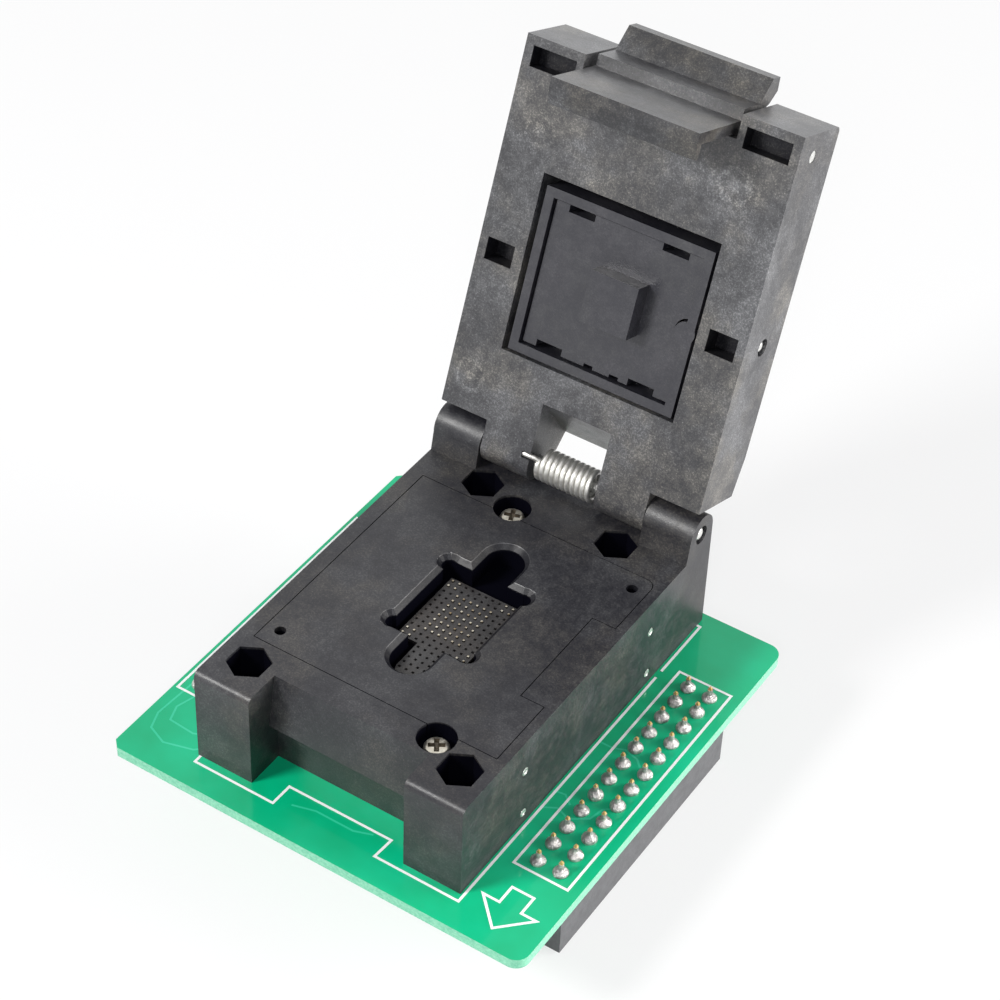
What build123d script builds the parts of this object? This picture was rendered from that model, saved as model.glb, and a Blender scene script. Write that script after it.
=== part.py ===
from build123d import *
from math import atan2, cos, degrees, hypot, pi, radians, sin
import os

# Sizes in millimetres. X runs across the socket, Y from the latch to the hinge and Z up.
# The origin is midway between the two headers, on the plane of their mating faces.

# Headers and board
PIN_PITCH = 2.54
PINS_PER_ROW = 12
HEADER_SPACING = 40.64
HEADER_END_WALL = 0.26
HEADER_HEIGHT = 8.5
HEADER_EDGE = 0.3
SOCKET_HOLE = 1.0
CONTACT_DEPTH = 5.0
TAIL_WIDTH = 0.6
TAIL_RISE = 1.7
TAIL_GAP = 0.05
SOLDER_FOOT = 1.5
SOLDER_TAPER = 30
SOLDER_HEIGHT = 0.6
SOLDER_GAP = 0.01
BOARD_THICKNESS = 1.2
BOARD_MARGIN_RIGHT = 1.6
BOARD_MARGIN_LEFT = 0.86
BOARD_MARGIN_FRONT = 3.83
BOARD_MARGIN_BACK = 0.91
BOARD_CORNER_R = 1.5
BOARD_CORNER_CUT = 0.8

# Socket base
BASE_X = -0.3
BASE_WIDTH = 31.0
BASE_LENGTH = 45.0
BASE_BACK = 23.48
BASE_HEIGHT = 11.45
POST_EDGE_R = 0.8
BEAM_FRONT = 4.1
BEAM_SLOPE = 1.05
BEAM_HEIGHT = 6.1
BAY_WALL = 4.35
BAY_GAP = 0.82

# Guide plate and the chip pocket in it
PLATE_WIDTH = 28.1
PLATE_LENGTH = 28.77
PLATE_Y = 0.175
PLATE_THICKNESS = 3.0
PLATE_GAP = 0.1
PLATE_CORNER_R = 1.0
KEY_WIDTH = 2.65
KEY_LENGTH = 13.0
KEY_Y = 0.33
DOWEL_HOLE_R = 0.6
DOWEL_INSET_X = 1.6
DOWEL_INSET_Y = 2.0
CHIP_X = -0.15
CHIP_Y = 0.5
CHIP_WIDTH = 9.2
CHIP_LENGTH = 11.25
CHIP_LEAD_IN = 0.5
RELIEF_R = 0.85
RELIEF_INSET_X = 0.25
RELIEF_INSET_Y = 0.75
FINGER_WIDTH = 4.2
FINGER_LENGTH = 20.6

# Contact field: holes on a square pitch, probes in part of them
PROBE_PITCH = 0.8
FIELD_COLUMNS = 10
FIELD_ROWS = 12
CORE_COLUMNS = 6
CORE_ROWS = 8
CORNER_CLUSTER = 2
FRONT_ROWS = 6
FRONT_HOLE_EDGE = 0.2
PROBE_WIDTH = 0.2
PROBE_GAP = 0.04
EMPTY_HOLE_DEPTH = 1.2
PROBE_LENGTH = 2.85
PROBE_PROUD = 0.15
PROBE_TRAVEL = 0.3
FLOOR_DEPTH = 1.95
COVER_FLANGE = 0.8
COVER_LIP = 1.6
COVER_END = 0.4
COVER_GAP = 0.1
ISLAND_MARGIN = 0.4
ISLAND_GAP = 0.55
FIELD_EDGE = 0.6
BLOCK_WIDTH = 18.0
BLOCK_LENGTH = 26.0
BLOCK_GAP = 0.1
WELL_SPARE = 0.2

# Screws, nuts and dowels of the base
PLATE_SCREW_HEAD_R = 1.33
PLATE_SCREW_HEAD = 1.0
PLATE_SCREW_SINK = 1.0
PLATE_SCREW_R = 0.65
PLATE_SCREW_LENGTH = 5.0
PLATE_SCREW_GAP = 0.05
PLATE_SCREW_OFF = 1.0
PLATE_SCREW_FRONT_X = 8.0
PLATE_SCREW_BACK_X = -3.8
PLATE_SCREW_BACK_OFF = 1.2
COUNTERBORE_R = 2.0
RECESS_SPAN = 1.5
RECESS_WIDTH = 0.4
RECESS_DEPTH = 0.5
NUT_FLATS = 3.9
NUT_THICKNESS = 1.6
NUT_GAP = 0.05
NUT_POCKET_DEPTH = 7.0
NUT_FRONT_SPREAD = 12.2
NUT_FRONT_SHIFT = 0.15
NUT_FRONT_INSET = 4.19
NUT_BACK_SPREAD = 8.05
NUT_BACK_INSET = 6.28
MOUNT_SCREW_R = 1.0
MOUNT_SCREW_GAP = 0.1
MOUNT_HEAD_R = 1.9
MOUNT_HEAD = 1.3
MOUNT_SLOT_WIDTH = 0.5
MOUNT_SLOT_DEPTH = 0.6
MOUNT_THREAD_PROUD = 0.4
SIDE_PIN_R = 0.5
SIDE_PIN_GAP = 0.05
SIDE_PIN_SINK = 0.05
SIDE_PIN_LENGTH = 4.0
SIDE_PIN_FRONT_Y = -10.8
SIDE_PIN_BACK_Y = 12.15
SIDE_PIN_LOW = 1.5
SIDE_PIN_RISE = 5.8

# Hinge
KNUCKLE_R = 2.25
KNUCKLE_WIDTH = 5.6
NECK_FLARE = 0.45
HINGE_RISE = 2.2
HINGE_SIDE_GAP = 0.1
HINGE_PIN_R = 0.7
HINGE_PIN_FIT = 0.02
HINGE_PIN_RUN = 0.05
HINGE_PIN_SINK = 0.45
HINGE_EYE_R = 1.05
HINGE_EYE_DEPTH = 0.8
LID_SWING = 110.59

# Lid, sized along V from the hinge axis and W outward from its inner face
LID_GAP = 0.1
LID_SIDE_IN = 0.05
LID_HEEL = 2.85
LID_TIP_BACK = 0.17
LID_THICKNESS = 8.2
LID_TIP_R = 0.7
HEEL_TAPER_LENGTH = 4.15
HEEL_TAPER_DEPTH = 0.76
FOOT_REACH = 2.2
SPRING_BAY_LEFT = 4.05
SPRING_BAY_RIGHT = 4.05
SPRING_BAY_TOP = 7.0
SPRING_BAY_BACK = 1.3

# Pusher in the lid
CAVITY_WIDTH = 20.3
CAVITY_START = 10.75
CAVITY_END = 29.87
CAVITY_DEPTH = 7.0
PUSHER_SIDE_GAP = 0.5
PUSHER_HEEL_GAP = 0.2
PUSHER_TIP_GAP = 1.2
PUSHER_FACE = 0.4
PUSHER_BACK = 5.2
PUSHER_TRAVEL = 1.2
RIM_WIDTH = 1.0
INSERT_GAP = 0.2
INSERT_FACE = 0.9
INSERT_BACK = 3.2
PAD_SIZE = 5.5
PAD_HEIGHT = 2.25
PAD_X = 0.5
PAD_V = 20.12
CLIP_WIDTH = 3.0
CLIP_DEPTH = 0.75
CLIP_SPREAD = 5.4
NICK_WIDTH = 1.05
NICK_DEPTH = 0.35
NICK_SPREAD = 1.5
KEY_LUG_R = 1.15
KEY_LUG_V = 19.8
PUSHER_PIN_R = 0.6
PUSHER_PIN_V = 20.09
PUSHER_PIN_W = 4.26
PUSHER_PIN_GAP = 0.05
PUSHER_PIN_SINK = 0.4
PUSHER_PIN_EYE_R = 0.95
PUSHER_PIN_EYE = 0.9
PUSHER_PIN_GRIP = 0.7
PUSHER_SPRING_R = 1.3
PUSHER_SPRING_WIRE = 0.4
PUSHER_SPRING_TURNS = 2
PUSHER_SPRING_SEAT = 1.0
PUSHER_SPRING_GAP = 0.15
PUSHER_SPRING_INSET = 3.4
SIDE_WINDOW_WIDTH = 3.2
SIDE_WINDOW_LENGTH = 2.4
SIDE_WINDOW_SPREAD = 12.9
SIDE_WINDOW_V = 20.25
SIDE_WINDOW_DEPTH = 2.5
TIP_WINDOW_WIDTH = 5.0
TIP_WINDOW_LENGTH = 2.15
TIP_WINDOW_SPREAD = 12.0
TIP_WINDOW_EDGE = 0.98
TIP_WINDOW_DEPTH = 1.9

# Latch
LATCH_WIDTH = 16.3
LATCH_SIDE_GAP = 0.6
LATCH_PIN_SETBACK = 0.12
LATCH_PIN_W = 3.2
LATCH_PIN_R = 0.65
LATCH_PIN_RUN = 0.05
LATCH_PIN_FIT = 0.02
LATCH_PIN_SINK = 0.05
LATCH_HUB_R = 1.9
LATCH_HUB_GAP = 0.4
LATCH_ARM_GAP = 0.6
LATCH_ARM_RUN = 0.22
LATCH_ARM_THICKNESS = 1.2
LATCH_CATCH_DROP = 0.2
LATCH_NOSE = 1.0
LATCH_NOSE_FLAT = 1.1
LATCH_HOOK = 1.6
LATCH_HOOK_EDGE = 0.35
LATCH_STEP_W = 1.4
LATCH_STEP_RUN = 0.1
LATCH_STEP = 1.2
LATCH_SHOULDER_W = 4.9
LATCH_TAB_REACH = 3.55
LATCH_TAB_W = 6.6
LATCH_TAB_TOP_W = 8.1
LATCH_TAB_CROWN = 0.25
LATCH_TAB_THICKNESS = 1.45
LATCH_BACK_OFF = 0.15
LATCH_BACK_RISE = 0.8
LATCH_BACK_W = 7.15
LATCH_HEEL_W = 5.35
LATCH_SPRING_R = 0.95
LATCH_SPRING_WIRE = 0.34
LATCH_SPRING_TURNS = 2.5
LATCH_SPRING_W = 6.6
LATCH_SPRING_GAP = 0.05
LATCH_LIP = 0.9

# Hinge spring
COIL_STEPS = 10
COIL_R = 1.5
COIL_WIRE_R = 0.29
COIL_WHOLE_TURNS = 9
COIL_PITCH = 0.62
COIL_LEFT = -3.65
COIL_LEG_V = 0.95
COIL_LEG_W = 0.35
COIL_LEG_LENGTH = 1.6
COIL_LEG_GAP = 0.08
COIL_FOOT_LENGTH = 1.9

# Levels and lines worked out from the sizes
HEADER_WIDTH = 2 * PIN_PITCH
HEADER_LENGTH = PINS_PER_ROW * PIN_PITCH + 2 * HEADER_END_WALL
BOARD_BOTTOM = HEADER_HEIGHT
BOARD_TOP = BOARD_BOTTOM + BOARD_THICKNESS
BASE_TOP = BOARD_TOP + BASE_HEIGHT
BASE_FRONT = BASE_BACK - BASE_LENGTH
BASE_LEFT = BASE_X - BASE_WIDTH / 2
BASE_RIGHT = BASE_X + BASE_WIDTH / 2
PLATE_SEAT = BASE_TOP - PLATE_THICKNESS
HINGE_Y = BASE_BACK - KNUCKLE_R
HINGE_Z = BASE_TOP + HINGE_RISE
LID_FACE = BASE_TOP + LID_GAP
LID_LENGTH = HINGE_Y - BASE_FRONT - LID_TIP_BACK
LID_WIDTH = BASE_WIDTH - 2 * LID_SIDE_IN
LATCH_NOTCH = LATCH_WIDTH + 2 * LATCH_SIDE_GAP
BAY_WIDTH = LATCH_WIDTH + 2 * BAY_GAP
BEAM_UNDER = BASE_TOP - BEAM_HEIGHT
BEAM_TOP_Y = BASE_FRONT + BEAM_FRONT
BEAM_BOTTOM_Y = BEAM_TOP_Y - BEAM_SLOPE
LATCH_ARM_V = HINGE_Y - BEAM_BOTTOM_Y + LATCH_ARM_GAP
LATCH_OUTER_V = LATCH_ARM_V + LATCH_ARM_THICKNESS
LATCH_BACK_V = LATCH_OUTER_V + LATCH_BACK_OFF
LATCH_PIN_V = LATCH_ARM_V - LATCH_PIN_SETBACK
LATCH_POCKET_V = LATCH_PIN_V - LATCH_HUB_R - LATCH_HUB_GAP
FLOOR = BASE_TOP - FLOOR_DEPTH
WELL_FLOOR = FLOOR + PROBE_PROUD - PROBE_LENGTH - PROBE_TRAVEL - WELL_SPARE
SCREW_SEAT = BASE_TOP - PLATE_SCREW_SINK - PLATE_SCREW_HEAD
NUT_SEAT = BASE_TOP - NUT_POCKET_DEPTH
HINGE_AXIS = Axis((0, HINGE_Y, HINGE_Z), (1, 0, 0))
THROUGH = 1.0

PLATE_SCREWS = [
    (PLATE_SCREW_FRONT_X, PLATE_Y - PLATE_LENGTH / 2 - PLATE_SCREW_OFF),
    (PLATE_SCREW_BACK_X, PLATE_Y + PLATE_LENGTH / 2 + PLATE_SCREW_BACK_OFF),
]
MOUNT_POINTS = [
    (BASE_X + NUT_FRONT_SHIFT + side * NUT_FRONT_SPREAD, BASE_FRONT + NUT_FRONT_INSET)
    for side in (-1, 1)
] + [
    (BASE_X + side * NUT_BACK_SPREAD, BASE_BACK - NUT_BACK_INSET) for side in (-1, 1)
]


def block(x_range, y_range, z_range):
    """Box between the given low and high limits."""
    size = [high - low for low, high in (x_range, y_range, z_range)]
    middle = [(high + low) / 2 for low, high in (x_range, y_range, z_range)]
    return Pos(*middle) * Box(*size)


def around(middle, width):
    return middle - width / 2, middle + width / 2


def rod(x, y, z_range, radius):
    """Upright cylinder."""
    low, high = z_range
    return Pos(x, y, (low + high) / 2) * Cylinder(radius, high - low)


def cross_rod(x_range, y, z, radius):
    """Cylinder along X."""
    low, high = x_range
    return Pos((low + high) / 2, y, z) * Rot(0, 90, 0) * Cylinder(radius, high - low)


def bar(x, y, z_range, radius, sides=10):
    """Upright flat-sided rod, for small pieces and their holes."""
    low, high = z_range
    return Pos(x, y, low) * extrude(RegularPolygon(radius, sides), amount=high - low)


def cross_bar(x_range, y, z, radius, sides=10):
    """Flat-sided rod along X."""
    low, high = x_range
    return Pos(low, y, z) * Rot(0, 90, 0) * bar(0, 0, (0, high - low), radius, sides)


def prism(points, x_range):
    """Side outline of (y, z) points, run across from one x to the other."""
    low, high = x_range
    outline = Polyline(*[(low, y, z) for y, z in points], close=True)
    return extrude(make_face(outline), amount=high - low, dir=(1, 0, 0))


def hexagon(x, y, z_range, flats):
    """Upright six-sided bar, corners towards the front and back."""
    return Pos(x, y, 0) * Rot(0, 0, 30) * bar(0, 0, z_range, flats / 3**0.5, 6)


def lid_block(x_range, v_range, w_range):
    """Box in the lid's own directions, with the lid closed."""
    y_range = (HINGE_Y - v_range[1], HINGE_Y - v_range[0])
    return block(x_range, y_range, (LID_FACE + w_range[0], LID_FACE + w_range[1]))


def lid_prism(points, x_range):
    return prism([(HINGE_Y - v, LID_FACE + w) for v, w in points], x_range)


def lid_rod(x_range, v, w, radius):
    return cross_rod(x_range, HINGE_Y - v, LID_FACE + w, radius)


def lid_bar(x_range, v, w, radius):
    """Sixteen-sided pin or hole along X in the lid."""
    return cross_bar(x_range, HINGE_Y - v, LID_FACE + w, radius, 16)


def opened(shape):
    """Turns a piece of the closed lid to the open position in which it stands."""
    return shape.rotate(HINGE_AXIS, -LID_SWING)


def header_pins(side):
    """Centres of one header's two rows of contacts."""
    middle = side * HEADER_SPACING / 2
    rows = (middle - PIN_PITCH / 2, middle + PIN_PITCH / 2)
    first = -(PINS_PER_ROW - 1) * PIN_PITCH / 2
    return [(x, first + n * PIN_PITCH) for x in rows for n in range(PINS_PER_ROW)]


def header(side):
    """Double-row socket strip with a square hole for every contact."""
    x_range = around(side * HEADER_SPACING / 2, HEADER_WIDTH)
    body = block(x_range, around(0, HEADER_LENGTH), (0, HEADER_HEIGHT))
    body = chamfer(body.faces().sort_by(Axis.Z)[0].edges(), HEADER_EDGE)
    holes = [Pos(x, y, HEADER_HEIGHT / 2) * Box(SOCKET_HOLE, SOCKET_HOLE, 2 * HEADER_HEIGHT)
             for x, y in header_pins(side)]
    return body - holes


def contact(x, y):
    """Square header contact, from inside its hole to a tail above the board."""
    span = (HEADER_HEIGHT - CONTACT_DEPTH, BOARD_TOP + TAIL_RISE)
    return block(around(x, TAIL_WIDTH), around(y, TAIL_WIDTH), span)


def solder_joint(x, y):
    """Four-sided cone of solder round a tail."""
    hole = TAIL_WIDTH + 2 * SOLDER_GAP
    foot = Pos(x, y, BOARD_TOP) * Rectangle(SOLDER_FOOT, SOLDER_FOOT)
    cone = extrude(foot, amount=SOLDER_HEIGHT, taper=SOLDER_TAPER)
    return cone - Pos(x, y, BOARD_TOP) * Box(hole, hole, 4 * SOLDER_HEIGHT)


def board():
    """Circuit board that carries the socket on top and the headers below."""
    reach = HEADER_SPACING / 2 + HEADER_WIDTH / 2
    left = -reach - BOARD_MARGIN_LEFT
    right = reach + BOARD_MARGIN_RIGHT
    front = BASE_FRONT - BOARD_MARGIN_FRONT
    back = BASE_BACK + BOARD_MARGIN_BACK
    body = block((left, right), (front, back), (BOARD_BOTTOM, BOARD_TOP))
    upright = body.edges().filter_by(Axis.Z)
    body = fillet(upright.sort_by(Axis.X)[-2:], BOARD_CORNER_R)
    upright = body.edges().filter_by(Axis.Z)
    body = chamfer(upright.sort_by(Axis.X)[:2], BOARD_CORNER_CUT)
    hole = TAIL_WIDTH + 2 * TAIL_GAP
    middle = (BOARD_BOTTOM + BOARD_TOP) / 2
    holes = [Pos(x, y, middle) * Box(hole, hole, 2 * BOARD_THICKNESS)
             for x, y in header_pins(-1) + header_pins(1)]
    span = (BOARD_BOTTOM - THROUGH, BOARD_TOP + THROUGH)
    holes += [bar(x, y, span, MOUNT_SCREW_R + MOUNT_SCREW_GAP) for x, y in MOUNT_POINTS]
    return body - holes


def plate_outline(gap, z_range):
    """Guide plate's block, or its seat when a gap is given, less the key."""
    width = PLATE_WIDTH + 2 * gap
    plate = block(around(0, width), around(PLATE_Y, PLATE_LENGTH + 2 * gap), z_range)
    rear_right = plate.edges().filter_by(Axis.Z).sort_by(lambda e: e.center().X + e.center().Y)
    plate = fillet(rear_right[-1], PLATE_CORNER_R + gap)
    key_x = (PLATE_WIDTH / 2 - KEY_WIDTH + gap, PLATE_WIDTH / 2 + KEY_WIDTH)
    return plate - block(key_x, around(KEY_Y, KEY_LENGTH - 2 * gap), z_range)


def counterbores():
    span = (SCREW_SEAT, BASE_TOP + THROUGH)
    return [bar(x, y, span, COUNTERBORE_R, 28) for x, y in PLATE_SCREWS]


def side_pin_points():
    low = BOARD_TOP + SIDE_PIN_LOW
    heights = (low, low + SIDE_PIN_RISE)
    return [(y, z) for y in (SIDE_PIN_FRONT_Y, SIDE_PIN_BACK_Y) for z in heights]


def side_pin_ranges(out=0, deeper=0):
    """How far the dowels run on each side, from just below the face."""
    left = BASE_LEFT + SIDE_PIN_SINK
    right = BASE_RIGHT - SIDE_PIN_SINK
    length = SIDE_PIN_LENGTH + deeper
    return [(left - out, left + length), (right - length, right + out)]


def base_frame():
    """Moulded base: posts and latch beam in front, knuckles behind, seats on top."""
    body = block((BASE_LEFT, BASE_RIGHT), (BASE_FRONT, BASE_BACK), (BOARD_TOP, BASE_TOP))
    front_top = body.edges().filter_by(Axis.X).group_by(Axis.Z)[-1].sort_by(Axis.Y)[0]
    body = fillet(front_top, POST_EDGE_R)
    bay = [
        (BASE_FRONT - THROUGH, BOARD_TOP - THROUGH),
        (BASE_FRONT + BAY_WALL, BOARD_TOP - THROUGH),
        (BASE_FRONT + BAY_WALL, BEAM_UNDER),
        (BEAM_BOTTOM_Y, BEAM_UNDER),
        (BEAM_TOP_Y, BASE_TOP),
        (BEAM_TOP_Y, BASE_TOP + THROUGH),
        (BASE_FRONT - THROUGH, BASE_TOP + THROUGH),
    ]
    body -= prism(bay, around(BASE_X, BAY_WIDTH))
    for x_range in knuckle_ranges():
        neck = [
            (HINGE_Y - KNUCKLE_R - NECK_FLARE, BASE_TOP),
            (HINGE_Y - KNUCKLE_R, HINGE_Z),
            (BASE_BACK, HINGE_Z),
            (BASE_BACK, BASE_TOP - THROUGH),
            (HINGE_Y - KNUCKLE_R - NECK_FLARE, BASE_TOP - THROUGH),
        ]
        body += prism(neck, x_range) + cross_rod(x_range, HINGE_Y, HINGE_Z, KNUCKLE_R)
    body -= plate_outline(PLATE_GAP, (PLATE_SEAT, BASE_TOP + THROUGH))
    body -= block(around(0, BLOCK_WIDTH + 2 * BLOCK_GAP),
                  around(PLATE_Y, BLOCK_LENGTH + 2 * BLOCK_GAP),
                  (BOARD_TOP - THROUGH, PLATE_SEAT + THROUGH))
    body -= counterbores()
    span = (SCREW_SEAT - PLATE_SCREW_LENGTH - PLATE_SCREW_GAP, BASE_TOP)
    body -= [bar(x, y, span, PLATE_SCREW_R + PLATE_SCREW_GAP) for x, y in PLATE_SCREWS]
    pocket = (NUT_SEAT, BASE_TOP + THROUGH)
    body -= [hexagon(x, y, pocket, NUT_FLATS + 2 * NUT_GAP) for x, y in MOUNT_POINTS]
    span = (BOARD_TOP - THROUGH, NUT_SEAT + THROUGH)
    body -= [bar(x, y, span, MOUNT_SCREW_R + MOUNT_SCREW_GAP) for x, y in MOUNT_POINTS]
    for x_range in side_pin_ranges(SIDE_PIN_SINK + THROUGH, SIDE_PIN_GAP):
        body -= [cross_bar(x_range, y, z, SIDE_PIN_R + SIDE_PIN_GAP)
                 for y, z in side_pin_points()]
    return body - hinge_bore(HINGE_PIN_R + HINGE_PIN_FIT) - hinge_eyes()


def knuckle_ranges():
    return [(BASE_LEFT, BASE_LEFT + KNUCKLE_WIDTH), (BASE_RIGHT - KNUCKLE_WIDTH, BASE_RIGHT)]


def hinge_bore(radius):
    span = (BASE_LEFT - THROUGH, BASE_RIGHT + THROUGH)
    return cross_bar(span, HINGE_Y, HINGE_Z, radius, 16)


def hinge_eyes():
    """Wider mouths of the hinge bore in the outer faces."""
    left = (BASE_LEFT - THROUGH, BASE_LEFT + HINGE_EYE_DEPTH)
    right = (BASE_RIGHT - HINGE_EYE_DEPTH, BASE_RIGHT + THROUGH)
    return [cross_bar(span, HINGE_Y, HINGE_Z, HINGE_EYE_R, 16) for span in (left, right)]


def hinge_pin():
    span = (BASE_LEFT + HINGE_PIN_SINK, BASE_RIGHT - HINGE_PIN_SINK)
    return cross_bar(span, HINGE_Y, HINGE_Z, HINGE_PIN_R, 16)


def chip_pocket(z_range):
    """Seat for the chip with corner reliefs and a round-ended finger recess each way."""
    pocket = block(around(CHIP_X, CHIP_WIDTH), around(CHIP_Y, CHIP_LENGTH), z_range)
    pocket += [bar(x, y, z_range, RELIEF_R, 16) for x, y in relief_points()]
    ends = finger_ends()
    pocket += block(around(CHIP_X, FINGER_WIDTH), ends, z_range)
    return pocket + [rod(CHIP_X, y, z_range, FINGER_WIDTH / 2) for y in ends]


def relief_points():
    x_range = around(CHIP_X, CHIP_WIDTH - 2 * RELIEF_INSET_X)
    y_range = around(CHIP_Y, CHIP_LENGTH - 2 * RELIEF_INSET_Y)
    return [(x, y) for x in x_range for y in y_range]


def pocket_bevel():
    """Lead-in round the upper edge of the pocket, its reliefs and finger recess."""
    low = BASE_TOP - CHIP_LEAD_IN
    middle = Pos(CHIP_X, CHIP_Y, low)
    mouths = [middle * Rectangle(CHIP_WIDTH, CHIP_LENGTH),
              middle * Rot(0, 0, 90) * SlotOverall(FINGER_LENGTH, FINGER_WIDTH)]
    mouths += [Pos(x, y, low) * RegularPolygon(RELIEF_R, 16) for x, y in relief_points()]
    return [extrude(mouth, amount=2 * CHIP_LEAD_IN, taper=-45) for mouth in mouths]


def finger_ends():
    """Centres of the finger recess's round ends, along Y."""
    return around(CHIP_Y, FINGER_LENGTH - FINGER_WIDTH)


def guide_plate():
    """Plate that centres the chip over the contacts, bevelled round its pocket."""
    body = plate_outline(0, (PLATE_SEAT, BASE_TOP))
    body -= chip_pocket((PLATE_SEAT - THROUGH, BASE_TOP + THROUGH))
    body -= pocket_bevel() + counterbores()
    x = PLATE_WIDTH / 2 - DOWEL_INSET_X
    y = PLATE_LENGTH / 2 - DOWEL_INSET_Y
    span = (PLATE_SEAT - THROUGH, BASE_TOP + THROUGH)
    return body - [bar(side * x, PLATE_Y + side * y, span, DOWEL_HOLE_R, 16)
                   for side in (-1, 1)]


def hole_point(column, row):
    x = CHIP_X + (column - (FIELD_COLUMNS - 1) / 2) * PROBE_PITCH
    y = CHIP_Y + (row - (FIELD_ROWS - 1) / 2) * PROBE_PITCH
    return x, y


def core(count, total):
    """Indexes of the middle part of a row of holes."""
    start = (total - count) // 2
    return range(start, start + count)


def hole_cells():
    """Every drilled cell: the chip's field, and more rows under the front recess."""
    field = [(c, r) for c in range(FIELD_COLUMNS) for r in range(FIELD_ROWS)]
    end, _ = finger_ends()
    reach = FINGER_WIDTH / 2 - ISLAND_GAP - FRONT_HOLE_EDGE
    for cell in [(c, -1 - r) for c in range(FIELD_COLUMNS) for r in range(FRONT_ROWS)]:
        x, y = hole_point(*cell)
        if hypot(x - CHIP_X, min(0, y - end)) < reach:
            field.append(cell)
    return field


def probe_cells():
    """Cells with a probe: the middle block and a small cluster in each corner."""
    middle = [(c, r) for c in core(CORE_COLUMNS, FIELD_COLUMNS) for r in core(CORE_ROWS, FIELD_ROWS)]
    edge = range(CORNER_CLUSTER)
    columns = [*edge, *(FIELD_COLUMNS - 1 - n for n in edge)]
    rows = [*edge, *(FIELD_ROWS - 1 - n for n in edge)]
    missing = (FIELD_COLUMNS - CORNER_CLUSTER, CORNER_CLUSTER - 1)
    corners = [(c, r) for c in columns for r in rows if (c, r) != missing]
    return middle + corners


def cover_limits(gap):
    """Outer limits of the cover's flange, or of its seat when a gap is given."""
    width = FIELD_COLUMNS * PROBE_PITCH + 2 * (COVER_LIP + gap)
    return around(CHIP_X, width), around(CHIP_Y, FINGER_LENGTH + 2 * (COVER_END + gap))


def probe_cover():
    """Drilled cover over the contact block: a flange and an island under the pocket."""
    low = PLATE_SEAT - COVER_FLANGE
    body = block(*cover_limits(0), (low, PLATE_SEAT))
    top = (low, FLOOR)
    width = (FIELD_COLUMNS - 1) * PROBE_PITCH + 2 * ISLAND_MARGIN
    length = (FIELD_ROWS - 1) * PROBE_PITCH + 2 * ISLAND_MARGIN
    body += block(around(CHIP_X, width), around(CHIP_Y, length), top)
    radius = FINGER_WIDTH / 2 - ISLAND_GAP
    end, _ = finger_ends()
    body += block(around(CHIP_X, 2 * radius), (end, CHIP_Y), top)
    body += rod(CHIP_X, end, top, radius)
    drilled = (low - THROUGH, FLOOR + THROUGH)
    blind = (FLOOR - EMPTY_HOLE_DEPTH, FLOOR + THROUGH)
    filled = probe_cells()
    width = PROBE_WIDTH + 2 * PROBE_GAP
    holes = []
    for cell in hole_cells():
        x, y = hole_point(*cell)
        holes.append(block(around(x, width), around(y, width),
                           drilled if cell in filled else blind))
    return body - holes


def probe_block():
    """Block on the board that carries the probes, with a well under the cover."""
    body = block(around(0, BLOCK_WIDTH), around(PLATE_Y, BLOCK_LENGTH), (BOARD_TOP, PLATE_SEAT))
    seat = PLATE_SEAT - COVER_FLANGE
    body -= block(*cover_limits(COVER_GAP), (seat, PLATE_SEAT + THROUGH))
    field_x = FIELD_COLUMNS * PROBE_PITCH + FIELD_EDGE
    field_y = FIELD_ROWS * PROBE_PITCH + FIELD_EDGE
    return body - block(around(CHIP_X, field_x), around(CHIP_Y, field_y),
                        (WELL_FLOOR, seat + THROUGH))


def probes():
    """Spring contacts, one plunger for each ball of the chip."""
    top = FLOOR + PROBE_PROUD
    centres = [hole_point(*cell) for cell in probe_cells()]
    return [block(around(x, PROBE_WIDTH), around(y, PROBE_WIDTH), (top - PROBE_LENGTH, top))
            for x, y in centres]


def cross_recess(x, y, top):
    """Four-armed driver recess."""
    z_range = (top - RECESS_DEPTH, top + THROUGH)
    long, short = around(0, RECESS_SPAN), around(0, RECESS_WIDTH)
    arms = block(long, short, z_range) + block(short, long, z_range)
    return Pos(x, y, 0) * Rot(0, 0, 30) * arms


def plate_screw(x, y):
    """Small cross-head screw that clamps the guide plate's edge."""
    top = SCREW_SEAT + PLATE_SCREW_HEAD
    head = bar(x, y, (SCREW_SEAT, top), PLATE_SCREW_HEAD_R, 20)
    head = chamfer(head.faces().sort_by(Axis.Z)[-1].edges(), PLATE_SCREW_HEAD / 4)
    shank = bar(x, y, (SCREW_SEAT - PLATE_SCREW_LENGTH, SCREW_SEAT), PLATE_SCREW_R)
    return head + shank - cross_recess(x, y, top)


def mounting_nut(x, y):
    nut = hexagon(x, y, (NUT_SEAT, NUT_SEAT + NUT_THICKNESS), NUT_FLATS)
    return nut - bar(x, y, (NUT_SEAT - THROUGH, BASE_TOP), MOUNT_SCREW_R + NUT_GAP)


def mounting_screw(x, y):
    """Slotted screw from under the board into a nut in the base."""
    top = NUT_SEAT + NUT_THICKNESS + MOUNT_THREAD_PROUD
    low = BOARD_BOTTOM - MOUNT_HEAD
    head = bar(x, y, (low, BOARD_BOTTOM), MOUNT_HEAD_R, 20)
    slot = block(around(x, 3 * MOUNT_HEAD_R), around(y, MOUNT_SLOT_WIDTH),
                 (low - THROUGH, low + MOUNT_SLOT_DEPTH))
    return head + bar(x, y, (BOARD_BOTTOM, top), MOUNT_SCREW_R) - slot


def side_pins():
    return [cross_bar(x_range, y, z, SIDE_PIN_R)
            for x_range in side_pin_ranges() for y, z in side_pin_points()]


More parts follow.
